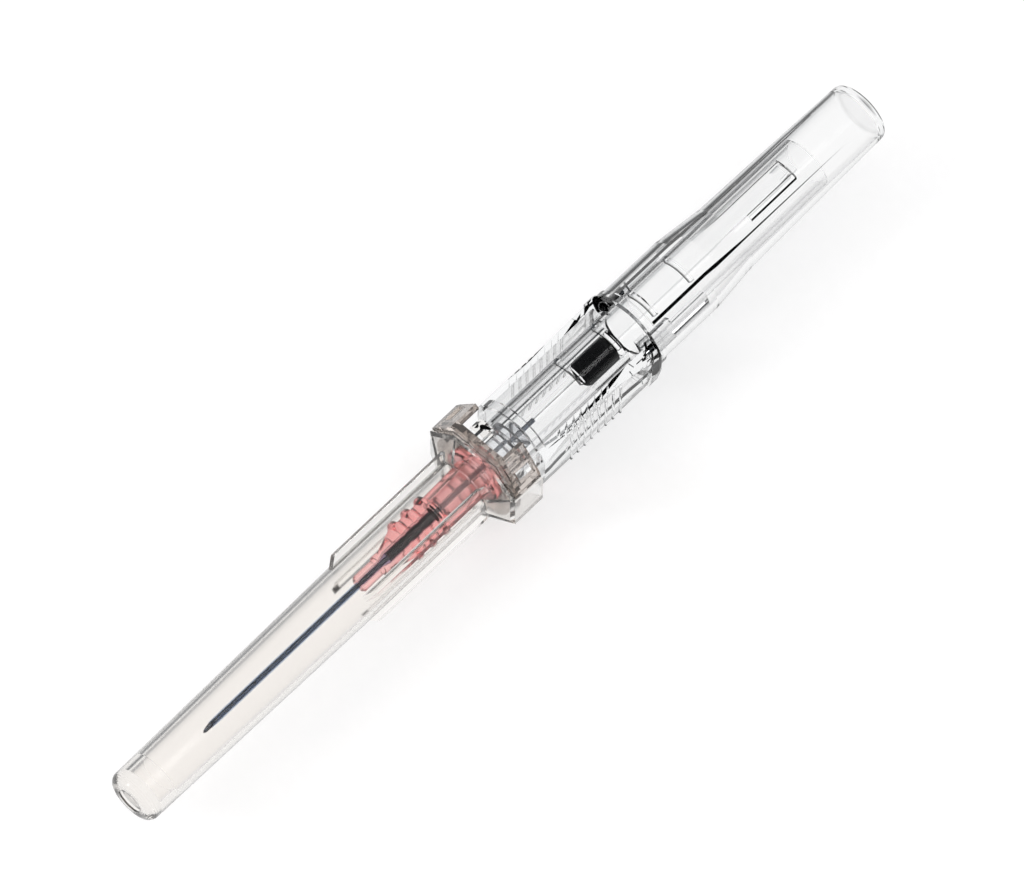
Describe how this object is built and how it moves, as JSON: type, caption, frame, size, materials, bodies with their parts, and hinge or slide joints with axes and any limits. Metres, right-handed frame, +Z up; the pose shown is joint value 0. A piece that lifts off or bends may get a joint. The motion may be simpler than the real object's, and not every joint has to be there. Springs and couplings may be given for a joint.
{
  "type": "safety iv catheter",
  "caption": "Intravenous catheter with a clear sliding needle guard, ribbed grip housing, coloured luer hub and a ribbed needle cover.",
  "frame": {"origin": "bottom centre of the whole part, on the surface that the flat of the cover's skirt lies on", "axes": "+X along the device from the needle's point to the closed end, +Z up out of the slotted side, Y across"},
  "size_m": [0.161, 0.0176, 0.0181],
  "materials": {
    "cover_plastic": "milky see-through moulding",
    "clear_plastic": "polished clear moulding",
    "hub_plastic": "pink see-through moulding",
    "nose_plastic": "bluish white see-through moulding",
    "smoke_plastic": "grey-brown see-through moulding",
    "tube_plastic": "smooth soft tube",
    "steel": "bright drawn steel",
    "vent_foam": "black porous plug"
  },
  "bodies": {
    "housing": {"grip_housing": "clear_plastic", "rear_housing": "clear_plastic", "flash_chamber": "clear_plastic", "vent_plug": "vent_foam", "needle_hub": "nose_plastic", "steel_needle": "steel"},
    "guard": {"needle_guard": "clear_plastic", "push_off_collar": "smoke_plastic"},
    "catheter": {"catheter_hub": "hub_plastic", "catheter_tube": "tube_plastic", "tube_eyelet": "steel"},
    "cover": {"needle_cover": "cover_plastic"}
  },
  "joints": [
    {"name": "guard_slide", "type": "slide", "parent": "housing", "child": "guard", "axis": [-1, 0, 0], "range_m": [0, 0.061]},
    {"name": "catheter_slide", "type": "slide", "parent": "guard", "child": "catheter", "axis": [-1, 0, 0], "range_m": [0, 0.0625]},
    {"name": "cover_slide", "type": "slide", "parent": "catheter", "child": "cover", "axis": [-1, 0, 0], "range_m": [0, 0.067]}
  ]
}
